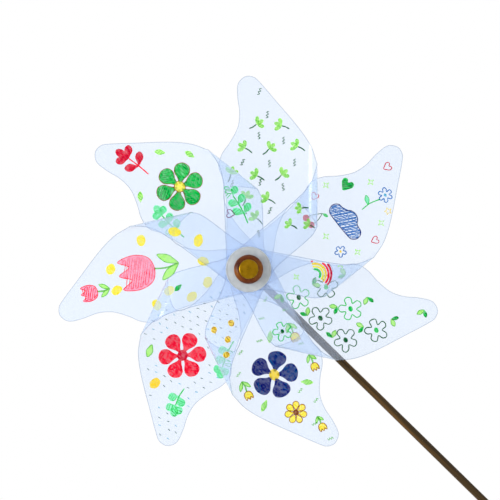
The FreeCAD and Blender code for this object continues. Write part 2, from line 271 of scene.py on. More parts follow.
class Solid:
    """Gathers closed shapes into one mesh."""

    def __init__(self):
        self.vertices, self.faces, self.slots, self.rims = [], [], [], []

    def add(self, vertices, faces, slot=0, rims=None):
        base = len(self.vertices)
        self.vertices += vertices
        self.faces += [tuple(base + i for i in face) for face in faces]
        self.slots += [slot] * len(faces)
        self.rims += rims or [0.0] * len(vertices)

    def sheet(self, number, points, faces, low, high, slot=0, rims=None):
        """A thin slab of leaf `number` over flat triangles, from one lift to another."""
        count = len(points)
        vertices = [place(number, p[0], p[1], lift) for lift in (low, high) for p in points]
        skins, edges = [], {}
        for a, b, c in faces:
            skins += [(a + count, b + count, c + count), (c, b, a)]
            for edge in ((a, b), (b, c), (c, a)):
                edges[edge] = edge[::-1] not in edges
                if edge[::-1] in edges:
                    edges[edge[::-1]] = False
        walls = [(a, b, b + count, a + count) for (a, b), outer in edges.items() if outer]
        self.add(vertices, skins + walls, slot, rims and rims * 2)

    def ribbon(self, number, path, widths, low, high, slot, closed):
        """A flat stroke of leaf `number` along a path on the flat film."""
        count = len(path)
        vertices = []
        for i, point in enumerate(path):
            ahead = path[(i + 1) % count] if closed or i + 1 < count else point
            behind = path[i - 1] if closed or i else point
            run = (ahead - behind).normalized()
            side = Vector((-run.y, run.x)) * widths[i] / 2
            left, right = point + side, point - side
            vertices += [place(number, left.x, left.y, low), place(number, right.x, right.y, low),
                         place(number, right.x, right.y, high), place(number, left.x, left.y, high)]
        faces = []
        for i in range(count if closed else count - 1):
            a, b = 4 * i, 4 * ((i + 1) % count)
            faces += [(a + 3, a + 2, b + 2, b + 3), (a, b, b + 1, a + 1),
                      (a + 1, b + 1, b + 2, a + 2), (b, a, a + 3, b + 3)]
        if not closed:
            end = 4 * (count - 1)
            faces += [(0, 1, 2, 3), (end + 1, end, end + 3, end + 2)]
        self.add(vertices, faces, slot)

    def build(self, name, materials, crease=0.6):
        """The finished object, smooth except across edges sharper than the crease."""
        mesh = bpy.data.meshes.new(name)
        mesh.from_pydata([tuple(v) for v in self.vertices], [], self.faces)
        for material in materials:
            mesh.materials.append(material)
        mesh.polygons.foreach_set("material_index", self.slots)
        rim = mesh.attributes.new("rim", "FLOAT", "POINT")
        rim.data.foreach_set("value", self.rims)
        work = bmesh.new()
        work.from_mesh(mesh)
        for face in work.faces:
            face.smooth = True
        for edge in work.edges:
            edge.smooth = edge.calc_face_angle(0.0) < crease
        work.to_mesh(mesh)
        work.free()
        return add_object(name, mesh)


# ---------------- materials
def linear(red, green, blue):
    """A linear colour from 0-255 display values."""
    parts = [c / 255 for c in (red, green, blue)]
    return tuple(c / 12.92 if c <= 0.04045 else ((c + 0.055) / 1.055) ** 2.4 for c in parts) + (1.0,)


class Shader:
    """A short way to write the nodes of a material or a world."""

    def __init__(self, name, kind=bpy.data.materials):
        self.owner = kind.new(name)
        self.owner.use_nodes = True
        self.tree = self.owner.node_tree
        self.tree.nodes.clear()

    def node(self, kind, **inputs):
        """Adds a node. An input is a number, a colour or another node's output."""
        item = self.tree.nodes.new("ShaderNode" + kind)
        for key, value in inputs.items():
            if hasattr(item, key) and key not in item.inputs:
                setattr(item, key, value)
                continue
            socket = item.inputs[int(key[1:])] if key[0] == "i" and key[1:].isdigit() else item.inputs[key]
            if isinstance(value, bpy.types.NodeSocket):
                self.tree.links.new(value, socket)
            else:
                socket.default_value = value
        return item

    def place_in(self, scale, turn=(0, 0, 0)):
        """Coordinates of the object itself, scaled."""
        where = self.node("TexCoord").outputs["Object"]
        return self.node("Mapping", Vector=where, Scale=scale, Rotation=turn).outputs["Vector"]

    def ramp(self, value, *stops):
        """A colour ramp with (position, colour) stops."""
        item = self.node("ValToRGB", Fac=value)
        band = item.color_ramp
        while len(band.elements) < len(stops):
            band.elements.new(0.5)
        for element, (position, colour) in zip(band.elements, stops):
            element.position, element.color = position, colour
        return item.outputs["Color"]

    def spread(self, value, low, high, start=0.0, end=1.0, **settings):
        """Maps a value from one range to another."""
        ends = {"From Min": start, "From Max": end, "To Min": low, "To Max": high}
        return self.node("MapRange", Value=value, **ends, **settings).outputs["Result"]

    def noise(self, scale, detail, turn=(0, 0, 0), **inputs):
        """Noise with this many grains a metre along each of the object's axes."""
        where = self.place_in(scale, turn)
        return self.node("TexNoise", Vector=where, Scale=1.0, Detail=detail, **inputs).outputs["Fac"]

    def bump(self, height, distance, strength):
        return self.node("Bump", Height=height, Distance=distance, Strength=strength).outputs["Normal"]

    def darken(self, tone, by, amount):
        """One colour multiplied by another."""
        return self.node("Mix", data_type="RGBA", blend_type="MULTIPLY", i0=amount, i6=tone, i7=by).outputs[2]

    def veil(self, cover, clear, tone, through, **inputs):
        """See-through in one colour, covered by another that scatters light back and partly through."""
        see = self.node("BsdfTransparent", Color=clear).outputs[0]
        front = self.node("BsdfDiffuse", Color=tone, **inputs).outputs[0]
        back = self.node("BsdfTranslucent", Color=tone, **inputs).outputs[0]
        soft = self.node("MixShader", Fac=through, i1=front, i2=back).outputs[0]
        return self.node("MixShader", Fac=cover, i1=see, i2=soft).outputs[0]

    def glossed(self, body, roughness, normal, most):
        """A shader under a clear gloss that strengthens towards grazing angles."""
        facing = self.node("LayerWeight", Blend=0.5, Normal=normal).outputs["Facing"]
        steep = self.node("Math", operation="POWER", i0=facing, i1=5.0).outputs[0]
        shine = self.node("BsdfGlossy", Roughness=roughness, Normal=normal).outputs[0]
        return self.node("MixShader", Fac=self.spread(steep, 0.035, most), i1=body, i2=shine).outputs[0]

    def opaque(self, tone, roughness, normal, **levels):
        """Finishes a surface that lets no light through. Levels are the shader's own plain settings."""
        surface = self.node("BsdfPrincipled", Roughness=roughness, Normal=normal, **{"Base Color": tone})
        for key, value in levels.items():
            surface.inputs[key.replace("_", " ")].default_value = value
        return self.finish(surface.outputs[0])

    def finish(self, surface, kind="Material"):
        self.node("Output" + kind, Surface=surface)
        return self.owner


def clear_film():
    """Thin clear film with a faint blue haze, darker cut edges and a soft uneven gloss."""
    s = Shader("clear_film")
    rim = s.node("Attribute", attribute_name="rim").outputs["Fac"]
    cloud = s.noise((30, 30, 30), 3.0)
    scuff = s.noise((900, 900, 160), 2.0, (0, 0.8, 0))
    tint = s.ramp(rim, (0.0, (0.93, 0.962, 1.0, 1)), (1.0, (0.55, 0.62, 0.72, 1)))
    haze = s.spread(cloud, 0.11, 0.15, 0.3, 0.7)
    bloom = s.ramp(scuff, (0.3, (0.70, 0.80, 0.99, 1)), (0.7, (0.76, 0.84, 1.0, 1)))
    body = s.veil(haze, tint, bloom, 0.4)
    wave = s.bump(cloud, 0.004, 0.25)
    rough = s.spread(scuff, 0.10, 0.20, 0.3, 0.7)
    return s.finish(s.glossed(body, rough, wave, 0.55))


def ink(name, colour, cover):
    """Felt-pen ink on clear film: see-through colour with streaks and thin patches."""
    s = Shader(f"ink_{name}")
    deep = linear(*colour)
    pale = tuple(c + (1 - c) * 0.2 for c in deep[:3]) + (1.0,)
    dark = tuple(c * 0.88 for c in deep[:3]) + (1.0,)
    streak = s.noise((1500, 1500, 420), 2.0, (0, 0.9, 0))
    patch = s.noise((420, 420, 420), 2.0)
    both = s.node("Math", operation="MULTIPLY", i0=streak, i1=patch).outputs[0]
    tone = s.ramp(both, (0.14, pale), (0.30, deep), (0.50, dark))
    clear = s.ramp(both, (0.12, tuple(c ** 0.3 for c in pale)), (0.42, tuple(c ** 0.4 for c in deep)))
    thickness = s.spread(both, cover - 0.125, cover + 0.125, 0.14, 0.36)
    return s.finish(s.veil(thickness, clear, tone, 0.5))


def frosted_plastic():
    """Moulded frosted plastic with a fine satin grain."""
    s = Shader("frosted_plastic")
    grain = s.noise((2600, 2600, 2600), 2.0)
    cloud = s.noise((260, 260, 260), 3.0)
    tone = s.ramp(cloud, (0.3, linear(190, 196, 197)), (0.7, linear(206, 210, 211)))
    rough = s.bump(grain, 0.00003, 0.6)
    cover = s.spread(cloud, 0.70, 0.76, 0.3, 0.7)
    body = s.veil(cover, (0.93, 0.95, 0.955, 1), tone, 0.15, Normal=rough)
    return s.finish(s.glossed(body, s.spread(cloud, 0.30, 0.38, 0.3, 0.7), rough, 0.5))


def stick_wood():
    """Wood-brown dowel darkened all over with painted shade: long fibres, pores and a rubbed satin surface.
    """
    s = Shader("stick_wood")
    fibre = s.noise((1500, 1500, 22), 5.0, Roughness=0.65)
    band = s.noise((420, 420, 9), 3.0)
    pore = s.node("TexVoronoi", Vector=s.place_in((2200, 2200, 90)), Scale=1.0).outputs["Distance"]
    # Painted shade: these browns are kept darker than the wood's own colour, as the stick looks when lit from
    # behind; the bands and fibres are the wood's grain.
    base = s.ramp(band, (0.28, linear(38, 27, 6)), (0.5, linear(64, 46, 14)), (0.74, linear(104, 70, 22)))
    dark = s.ramp(fibre, (0.3, (0.5, 0.46, 0.40, 1)), (0.6, (1, 1, 1, 1)))
    pits = s.ramp(pore, (0.0, (0.35, 0.30, 0.24, 1)), (0.22, (1, 1, 1, 1)))
    tone = s.darken(s.darken(base, dark, 0.85), pits, 0.5)
    return s.opaque(tone, s.spread(fibre, 0.42, 0.62, 0.3, 0.7), s.bump(fibre, 0.00008, 0.6),
                    Specular_IOR_Level=0.2)


def bead_wood():
    """Turned amber-brown bead with fine rings round the axle, under a very thin varnish."""
    s = Shader("bead_wood")
    blotch = s.noise((130, 130, 60), 4.0)
    grain = s.noise((260, 1100, 1100), 4.0)
    base = s.ramp(blotch, (0.32, linear(66, 20, 0)), (0.5, linear(100, 46, 0)), (0.68, linear(132, 78, 2)))
    dark = s.ramp(grain, (0.3, (0.62, 0.5, 0.42, 1)), (0.62, (1, 1, 1, 1)))
    return s.opaque(s.darken(base, dark, 0.7), s.spread(grain, 0.28, 0.4, 0.3, 0.7),
                    s.bump(grain, 0.00004, 0.3), Specular_IOR_Level=0.12, Coat_Weight=0.08,
                    Coat_Roughness=0.08)


def brass():
    """Rolled brass with a thin olive tarnish and fine scratches."""
    s = Shader("brass")
    cloud = s.noise((330, 330, 330), 4.0)
    scratch = s.noise((700, 900, 6000), 2.0, (0, 0.5, 0))
    tone = s.ramp(cloud, (0.3, linear(128, 96, 10)), (0.55, linear(142, 106, 14)),
                  (0.75, linear(158, 120, 22)))
    return s.opaque(tone, s.spread(cloud, 0.24, 0.40, 0.3, 0.7), s.bump(scratch, 0.00001, 0.35), Metallic=1.0)


film_finish = clear_film()
plastic_finish = frosted_plastic()
shaded_stick_finish = stick_wood()
bead_finish = bead_wood()
brass_finish = brass()

# ---------------- film leaves
# The leaf's outline in its own front view: tip up, curl at +X.
OUTER_EDGE = [(7.0, 117.8), (17.5, 105.6), (32.1, 87.9), (39.4, 76.4), (42.8, 65.6)]
LEFT_EDGE = [(-13.5, 40.0), (-15.6, 56.0), (-18.6, 64.5), (-16.4, 72.6), (-11.4, 79.8),
             (-6.6, 89.0), (-5.4, 98.0), (-6.6, 108.0)]
TIP = [(-6.6, 108.0), (-6.2, 116.6), (-1.6, 121.0), (3.6, 120.6), (7.0, 117.8)]
NOTCH = [(42.8, 26.6), (39.4, 33.0), (35.0, 38.4), (31.0, 41.6), (27.4, 41.2), (24.2, 38.0),
         (20.4, 31.0), (17.4, 21.5), (15.6, 10.0), (13.5, 0.0)]
FLAP_TOP = [(42.8, 65.6), (39.2, 54.8), (34.2, 47.8), (27.4, 41.2)]
FLAP_FOOT = [(24.0, 7.4), (39.2, 20.6), (42.8, 26.6)]


def flat_outline():
    """The leaf's outline on the flat film, counter-clockwise."""
    along = Vector((cos(FLAP_TURN), sin(FLAP_TURN)))
    across = Vector((-along.y, along.x))
    neck = along * TAB - across * FLAP_NECK
    turn = degrees(FLAP_TURN)
    base = smooth_path(NOTCH, step=1.2)[:-1]
    base += arc_path((0, 0), TAB, 0, -180, 34)
    base += smooth_path([(-TAB, 0), (-TAB, 40)], step=2)[1:-1]
    base += smooth_path(LEFT_EDGE + TIP[1:] + OUTER_EDGE[1:], step=1.2)[:-1]
    flap = smooth_path(FLAP_TOP, step=1.0)[:-1]
    flap += smooth_path([FLAP_TOP[-1], across * TAB], step=2)[:-1]
    flap += arc_path((0, 0), TAB, 90 + turn, 270 + turn, 34)
    flap += smooth_path([-across * TAB, neck] + FLAP_FOOT, step=1.2)[1:-1]
    outline = [Vector((along_film(p[0], False), p[1])) for p in base]
    outline += [Vector((along_film(p[0], True), p[1])) for p in flap]
    return outline[::-1]


OUTLINE = flat_outline()


def inset(polygon, distance):
    """The polygon's points moved inwards, for a counter-clockwise polygon."""
    moved = []
    for i, point in enumerate(polygon):
        run = (polygon[(i + 1) % len(polygon)] - polygon[i - 1]).normalized()
        moved.append(point + Vector((-run.y, run.x)) * distance)
    return moved


def film_shape():
    """Flat triangles of one leaf, and for each point 1 on the cut edge and 0 off it."""
    holes = [arc_path((x, 0), HOLE, 0, 345, 23) for x in (0.0, FLAP_HOLE)]
    rim_width, spacing = 0.5, 2.0
    points, faces = triangles(OUTLINE, spacing, inset(OUTLINE, rim_width), holes)
    on_edge = distance_to(OUTLINE, points) < 0.05
    return points, faces, [float(rim) for rim in on_edge]


film_points, film_faces, film_rims = film_shape()
for number in range(1, BLADES + 1):
    leaf = Solid()
    leaf.sheet(number, film_points, film_faces, -FILM / 2, FILM / 2, rims=film_rims)
    piece = leaf.build(f"leaf_{number}", [film_finish])
    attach(piece, "rotor")
    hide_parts(f"blade_{number}")


# ---------------- beads, discs, nail and stick
def turned(name, profile, material, body, sides=96):
    """A piece turned about the axle from (radius, depth) points, closed through the axle or a bore."""
    rings, vertices, faces = [], [], []
    for radius, depth in profile:
        if radius == 0:
            rings.append([len(vertices)] * sides)
            vertices.append(Vector((0, -depth, HUB_Z)) * MM)
            continue
        rings.append(range(len(vertices), len(vertices) + sides))
        for i in range(sides):
            angle = tau * i / sides
            vertices.append(Vector((radius * cos(angle), -depth, HUB_Z + radius * sin(angle))) * MM)
    pairs = list(zip(rings, rings[1:]))
    if profile[0][0] > 0:
        pairs.append((rings[-1], rings[0]))
    for near, far in pairs:
        for i in range(sides):
            j = (i + 1) % sides
            corners = [near[i], far[i], far[j], near[j]]
            faces.append(tuple(dict.fromkeys(corners)))
    solid = Solid()
    solid.add(vertices, faces)
    piece = solid.build(name, [material])
    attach(piece, body)
    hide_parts(name.removesuffix("_look"))


def bead_profile(node, groove):
    """A round belly between flat ends, with softened edges and a shallow turned groove."""
    start, end = depths(node)
    outer = radius_of(node)
    face, half = outer * 0.62, (end - start) / 2
    middle = (start + end) / 2
    sag = outer - face
    radius = (sag * sag + half * half) / (2 * sag)
    reach = asin(half / radius)
    profile = [(HOLE + 0.25, end), (face - 0.3, end)]
    for i in range(25):
        angle = reach * 0.96 * (1 - i / 12)
        spot = outer - radius + radius * cos(angle)
        dip = groove * exp(-((angle - reach * 0.42) / 0.05) ** 2)
        profile.append((spot - dip, middle + radius * sin(angle)))
    profile += [(face - 0.3, start), (HOLE + 0.25, start), (HOLE, start + 0.25), (HOLE, end - 0.25)]
    return profile


def disc_profile(node):
    """A thin washer disc with rounded rims and a faint moulded ring near the edge, front and back."""
    start, end = depths(node)
    outer = radius_of(node)
    rim = [(outer - 0.25 + 0.25 * sin(a), cos(a)) for a in np.linspace(0, pi / 2, 5)]
    ring = [(outer - 1.5, 0.0), (outer - 1.25, 0.12), (outer - 0.95, 0.12), (outer - 0.7, 0.0)]
    profile = [(HOLE, end), (4.0, end)] + [(r, end - d) for r, d in ring]
    profile += [(r, end - 0.25 + 0.25 * c) for r, c in rim]
    profile += [(r, start + 0.25 - 0.25 * c) for r, c in rim[::-1]]
    return profile + [(r, start + d) for r, d in ring[::-1]] + [(4.0, start), (HOLE, start)]


def nail_profile():
    """A straight shank under a nearly flat head with a rounded shoulder."""
    start, end = depths("axle_nail")
    head, shank, back = 6.0, 0.8, end - 2.8
    profile = [(0, start), (shank - 0.15, start), (shank, start + 0.3), (shank, back),
               (head - 0.25, back), (head, back + 0.2), (head, back + 1.35), (head - 0.08, back + 1.65),
               (head - 0.28, back + 1.92), (head - 0.55, back + 2.1), (head - 0.85, back + 2.18)]
    crown, edge = end - 0.02, head - 1.0
    rise = crown - back - 2.2
    radius = (edge * edge + rise * rise) / (2 * rise)
    reach = asin(edge / radius)
    for i in range(15):
        angle = reach * (1 - i / 14)
        profile.append((radius * sin(angle), crown - radius + radius * cos(angle)))
    profile[-1] = (0, crown)
    return profile[::-1]


def tube_profile(node):
    """A plain tube with chamfered outer edges."""
    start, end = depths(node)
    outer = radius_of(node)
    return [(HOLE, end), (outer - 0.2, end), (outer, end - 0.2), (outer, start + 0.2),
            (outer - 0.2, start), (HOLE, start)]


turned("front_bead_look", bead_profile("front_bead", 0.18), bead_finish, "front_bead")
turned("rear_bead_look", bead_profile("rear_bead", 0.1), bead_finish, "rear_bead")
turned("front_disc_look", disc_profile("front_disc"), plastic_finish, "rotor")
turned("rear_disc_look", disc_profile("rear_disc"), plastic_finish, "rotor")
turned("spacer_tube_look", tube_profile("spacer_tube"), plastic_finish, "rotor", 48)
turned("axle_nail_look", nail_profile(), brass_finish, "handle")


def dowel():
    """The stick: a straight pin at its foot, then a faint taper, slight flats, and a sanded top."""
    low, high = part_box("stick")
    length, foot, pin, sides = (high.z - low.z) / MM, radius_of("stick"), 80, 40
    levels = [0, 0.25] + [pin * i / 16 for i in range(1, 17)]
    levels += [pin + (length - (pin + 1)) * i / 56 for i in range(1, 57)]
    rings = []
    for level in levels:
        taper = foot - 0.1 * max(0.0, level - pin) / (length - pin)
        rings.append((taper - (0.2 if level == 0 else 0), level))
    rings += [(foot - 0.18, length - 0.6), (foot - 0.32, length - 0.2), (foot - 0.7, length)]
    vertices, faces = [Vector((0, 0, 0))], []
    for radius, level in rings:
        for i in range(sides):
            angle = tau * i / sides
            dent = 0.05 * (0.5 + noise(Vector((3 * cos(angle), 3 * sin(angle), level / 25))))
            reach = radius - max(0.0, dent)
            vertices.append(Vector((reach * cos(angle), reach * sin(angle), level)) * MM)
    top = len(vertices)
    vertices.append(Vector((0, 0, length)) * MM)
    for i in range(sides):
        j = (i + 1) % sides
        faces.append((0, 1 + j, 1 + i))
        for ring in range(len(rings) - 1):
            a, b = 1 + ring * sides, 1 + (ring + 1) * sides
            faces.append((a + i, a + j, b + j, b + i))
        faces.append((top - sides + i, top - sides + j, top))
    solid = Solid()
    solid.add(vertices, faces)
    piece = solid.build("stick_look", [shaded_stick_finish], crease=1.0)
    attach(piece, "handle")
    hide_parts("stick")


dowel()


# ---------------- felt-pen drawings
INKS = {
    "mint": (146, 248, 196),
    "green": (20, 214, 92),
    "lime": (196, 250, 140),
    "leaf": (118, 206, 84),
    "pine": (0, 116, 56),
    "grey": (104, 138, 128),
    "crimson": (222, 0, 62),
    "red": (255, 30, 74),
    "pink": (255, 176, 200),
    "yellow": (255, 248, 96),
    "amber": (255, 228, 60),
    "navy": (4, 26, 132),
    "blue": (10, 128, 206),
    "sky": (92, 190, 220),
    "brown": (170, 96, 34),
    "mauve": (150, 92, 130),
}
INK_NAMES = list(INKS)
BOLD = {"navy": 0.78, "pine": 0.72, "crimson": 0.66, "red": 0.62}
ink_finishes = [ink(n, INKS[n], cover=BOLD.get(n, 0.5)) for n in INK_NAMES]
# The first mark's clearance from the film, the rise from mark to mark, a mark's thickness, and the
# clear strip kept along the film's edge.
INK_GAP, INK_STEP, INK_THICK, BORDER = 0.002, 0.0004, 0.003, 0.3


def ray(turn, reach=1.0):
    """A step of the given length, turned by degrees from +X."""
    return Vector((cos(radians(turn)), sin(radians(turn)))) * reach


# The two surfaces that carry ink, in the leaf's own front view: the base film and the curled-over flap.
PANEL = [(13.5, 16.0), (-13.5, 16.0)] + LEFT_EDGE + TIP[1:] + OUTER_EDGE[1:] + NOTCH[:-2]
FLAP_PANEL = FLAP_TOP + [(15.0, 24.0), (20.0, 14.0), (30.0, 12.5)] + FLAP_FOOT[1:]
# A leaf's main motif sits in the middle of its panel.
MIDDLE, FLAP_MIDDLE = Vector((14, 66)), Vector((28, 30))


# The lower left corner of the box that holds both panels, and its width and height.
CORNER, WIDTH, HEIGHT = Vector((-20, 16)), 70, 120


def lattice(panel, gap, margin, keep_off=(), uneven=0.12, phase=0.0):
    """Staggered places all over a panel, a little uneven, clear of the given (middle, radius) discs."""
    columns, rows = int(WIDTH / gap) + 1, int(HEIGHT / gap) + 1
    places = []
    for row in range(rows):
        for column in range(columns):
            at = Vector((column + 0.5 * (row % 2) + phase, 0.87 * (row + phase))) * gap + CORNER
            at += Vector((rng.uniform(-uneven, uneven), rng.uniform(-uneven, uneven))) * gap
            free = all((at - Vector(middle)).length > radius for middle, radius in keep_off)
            if free and inside(panel, [at])[0] and distance_to(panel, [at])[0] > margin:
                places.append(at)
    return places


class Drawing:
    """The ink of one leaf. Positions are millimetres in the leaf's own front view: hub at 0, tip up."""

    def __init__(self, number):
        self.number, self.solid, self.marks = number, Solid(), 0

    def on_film(self, point, flap):
        """A front-view point as a point of the flat film."""
        return Vector((along_film(point[0], flap), point[1]))

    def lifts(self, flap):
        """The next mark's lower and upper lift: each mark lies on the last one, on the film's front."""
        self.marks += 1
        foot = FILM / 2 + INK_GAP + INK_STEP * self.marks
        return (-foot - INK_THICK, -foot) if flap else (foot, foot + INK_THICK)

    def stroke(self, points, colour, width, flap=False, closed=False, curved=True):
        """A pen line, left out where it would run over the film's edge."""
        path = smooth_path(points, closed) if curved else [Vector(p) for p in points]
        path = [self.on_film(p, flap) for p in path]
        good = inside(OUTLINE, path) & (distance_to(OUTLINE, path) > width / 2 + BORDER)
        slot, (low, high) = INK_NAMES.index(colour), self.lifts(flap)
        whole = closed and good.all()
        runs, run = [], []
        for point, fits in zip(path, good):
            if fits and (not run or (point - run[-1]).length < 6):
                run.append(point)
            else:
                runs.append(run)
                run = [point] if fits else []
        runs.append(run)
        for run in runs:
            if len(run) < 3:
                continue
            widths = [width * (1 + 0.28 * noise(Vector((p.x / 2.2, p.y / 2.2, self.marks)))) for p in run]
            if not whole:
                widths[0] *= 0.5
                widths[-1] *= 0.5
            self.solid.ribbon(self.number, run, widths, low, high, slot, whole)

    def fill(self, points, colour, flap=False):
        """A closed patch of ink, only where it fits on the film."""
        path = [self.on_film(p, flap) for p in smooth_path(points, True, step=1.0)]
        if not (inside(OUTLINE, path) & (distance_to(OUTLINE, path) > BORDER)).all():
            return
        area = sum(a.x * b.y - b.x * a.y for a, b in zip(path, path[1:] + path[:1]))
        if area < 0:
            path = path[::-1]
        points, faces = triangles(path, 1.6)
        low, high = self.lifts(flap)
        faces = [f for f in faces if (points[f[1]] - points[f[0]]).cross(points[f[2]] - points[f[0]]) > 1e-9]
        self.solid.sheet(self.number, points, faces, low, high, INK_NAMES.index(colour))

    def hatch(self, points, colour, gap, width, angle, flap=False, shrink=0.88):
        """Back-and-forth pen strokes that fill an outline."""
        ring = smooth_path(points, True)
        centre = sum(ring, Vector((0, 0))) / len(ring)
        turn = Matrix.Rotation(-radians(angle), 2)
        ring = [turn @ ((p - centre) * shrink) for p in ring]
        path, y = [], min(p.y for p in ring) + gap / 2
        while y < max(p.y for p in ring):
            hits = [a.x + (y - a.y) * (b.x - a.x) / (b.y - a.y)
                    for a, b in zip(ring, ring[1:] + ring[:1]) if (a.y > y) != (b.y > y)]
            if len(hits) > 1:
                ends = [min(hits) + rng.uniform(0, 0.5), max(hits) - rng.uniform(0, 0.5)]
                if len(path) % 4 == 2:
                    ends.reverse()
                path += [Vector((x, y + rng.uniform(-0.2, 0.2))) for x in ends]
            y += gap * rng.uniform(0.8, 1.2)
        if len(path) > 2:
            back = turn.transposed()
            self.stroke([back @ p + centre for p in path], colour, width, flap)

    def shape(self, ring, colour, detail=None, edge=None, flap=False, angle=50, gap=1.35):
        """A patch washed in one ink, scribbled over with another and outlined in a third."""
        self.fill(ring, colour, flap)
        if detail:
            self.hatch(ring, detail, gap, 0.48, angle, flap)
        if edge:
            self.stroke(ring, edge, 0.5, flap, closed=True)

    # Motifs. Turns are in degrees.
    def blob(self, at, long, short, colour, turn=0, **inks):
        """An uneven oval."""
        ring = []
        for i in range(12):
            wobble = rng.uniform(0.94, 1.05)
            x, y = long * cos(tau * i / 12), short * sin(tau * i / 12)
            ring.append(Vector(at) + (ray(turn, x) + ray(turn + 90, y)) * wobble)
        self.shape(ring, colour, angle=turn + 60, **inks)

    def leaf(self, start, turn, long, wide, colour, blunt=0.0, **inks):
        """A leaf or petal from its stalk outwards: pointed, or rounded as blunt nears 1."""
        ring = [Vector(start)]
        for side in (1, -1):
            edge = [(0.25, 0.6 - 0.2 * blunt), (0.55, 1.0), (0.85, 0.55 + 0.35 * blunt)]
            edge = [Vector(start) + ray(turn, long * f) + ray(turn + 90, side * wide * g / 2)
                    for f, g in edge]
            ring += edge + [Vector(start) + ray(turn, long)] if side > 0 else edge[::-1]
        self.shape(ring, colour, angle=turn + 50, **inks)

    def outline_flower(self, at, size, colour, heart, turn=0, petals=5, flap=False):
        """A flower drawn in one line, with a filled heart."""
        ring = []
        for i in range(petals * 4):
            reach = size * (0.5, 0.88, 1.0, 0.88)[i % 4] * rng.uniform(0.96, 1.04)
            ring.append(Vector(at) + ray(turn + 90 * i / petals, reach))
        self.stroke(ring, colour, 0.65, flap, closed=True)
        self.blob(at, size * 0.24, size * 0.19, heart, turn, flap=flap)

    def bloom(self, at, size, colour, detail, edge, heart, petals=5):
        """A flower of separate filled petals round a heart."""
        for i in range(petals):
            lean = 90 + 360 * i / petals
            self.leaf(Vector(at) + ray(lean, size * 0.12), lean, size * 0.88, size * 3.7 / petals, colour,
                      blunt=1.0, detail=detail, edge=edge)
        self.blob(at, size * 0.24, size * 0.22, heart, 90, edge=edge)

    def tulip(self, at, size, turn, colour, detail, edge, stem):
        """A three-pointed cup on a stem with two long leaves."""
        base = Vector(at) - ray(turn, size * 0.6)
        foot = base - ray(turn, stem)
        self.stroke([base, base - ray(turn - 8, stem / 2), foot], "leaf", 1.0)
        for lean in (-34, 34):
            self.leaf(foot, turn + lean, stem * 0.9, stem * 0.3, "lime", edge="leaf")
        half = [(0.0, 0.95), (0.3, 0.45), (0.62, 0.9), (0.78, 0.2), (0.55, -0.45), (0.0, -0.65)]
        whole = half + [(-x, y) for x, y in half[-2:0:-1]]
        ring = [Vector(at) + (ray(turn - 90, x) + ray(turn, y)) * size for x, y in whole]
        self.shape(ring, colour, detail, edge, angle=turn + 70)

    def sprig(self, start, turn, long, colour, detail, pairs=3, bend=10, wide=0.5, flap=False):
        """A bending stem with pairs of leaves and one at its tip."""
        at, stem = Vector(start), [Vector(start)]
        step = long / (pairs + 1)
        for pair in range(pairs):
            turn += bend
            at = at + ray(turn, step)
            stem.append(at)
            for lean in (52, -52):
                self.leaf(at, turn + lean, step * (1.15 - 0.1 * pair), step * wide * 1.5, colour, 0.6,
                          detail=detail, flap=flap)
        self.leaf(at, turn + bend, step * 1.2, step * wide * 1.5, colour, 0.6, detail=detail, flap=flap)
        self.stroke(stem, detail, 0.8, flap)

    def sprout(self, at, size, turn, flap=False):
        """Three pale leaves fanned out on a dark stalk."""
        for lean in (-50, 50, 0):
            self.leaf(at, turn + lean, size, size * 0.5, "lime", 0.7, detail="leaf", flap=flap, gap=1.0)
        bends = ((-0.1, 0), (size * 0.5, 8), (size, 0))
        stalk = [Vector(at) - ray(turn + bow, reach) for reach, bow in bends]
        self.stroke(stalk, "pine", 0.8, flap)

    def squiggle(self, at, long, turn, colour="pine"):
        """A short zigzag with rounded turns."""
        line = [Vector(at) + ray(turn, long * (i / 5 - 0.5)) + ray(turn + 90, 0.7 * (-1) ** i)
                for i in range(6)]
        self.stroke(line, colour, 0.5)

    def heart(self, at, size, turn, colour, detail=None, flap=False):
        """A heart, outlined unless it has a second ink to fill it with."""
        half = [(0.0, 0.45), (0.35, 0.85), (0.85, 0.75), (0.95, 0.2), (0.5, -0.45), (0.0, -0.95)]
        whole = half + [(-x, y) for x, y in half[-2:0:-1]]
        ring = [Vector(at) + (ray(turn, x) + ray(turn + 90, y)) * size for x, y in whole]
        if detail:
            self.shape(ring, colour, detail, flap=flap)
        else:
            self.stroke(ring, colour, 0.55, flap, closed=True)

    def star(self, at, size, colour, points=4, waist=0.3, flap=False):
        """A star drawn in one straight-sided line."""
        corners = [Vector(at) + ray(90 + 180 * i / points, size * (waist if i % 2 else 1.0))
                   for i in range(points * 2 + 1)]
        line = [a.lerp(b, f / 4) for a, b in zip(corners, corners[1:]) for f in range(4)] + corners[-1:]
        self.stroke(line, colour, 0.4, flap, curved=False)

    def cloud(self, at, size, colour, edge):
        """Three bumps on a flat foot, scribbled over."""
        ring = []
        for x, radius, start, end in ((0.75, 0.36, -90, 100), (0.05, 0.52, 30, 150), (-0.7, 0.36, 80, 270)):
            ring += arc_path((x, radius - 0.36), radius, start, end, 5)
        ring = [Vector(at) + p * size for p in ring]
        self.hatch(ring, colour, 0.95, 0.6, 62, shrink=0.95)
        self.hatch(ring, colour, 1.7, 0.4, 20, shrink=0.95)
        self.stroke(ring, edge, 0.55, closed=True)

    def rainbow(self, at, size, turn, colours, flap=False):
        """Arcs inside each other."""
        for i, colour in enumerate(colours):
            self.stroke(arc_path(at, size * (1 - 0.17 * i), turn, turn + 150, 10), colour, size * 0.13, flap)

    def cherries(self, at, size):
        """Two fruits on stalks that meet under a leaf."""
        top = Vector(at) + ray(80, size * 1.6)
        for lean in (-150, -35):
            fruit = Vector(at) + ray(lean, size * 0.6)
            self.stroke([top, (top + fruit) / 2 + ray(lean, size * 0.25), fruit], "pine", 0.45)
            self.blob(fruit, size * 0.42, size * 0.4, "crimson", detail="red")
        self.leaf(top, 20, size * 0.8, size * 0.4, "green")

    def finish(self):
        piece = self.solid.build(f"drawing_{self.number}", ink_finishes)
        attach(piece, "rotor")


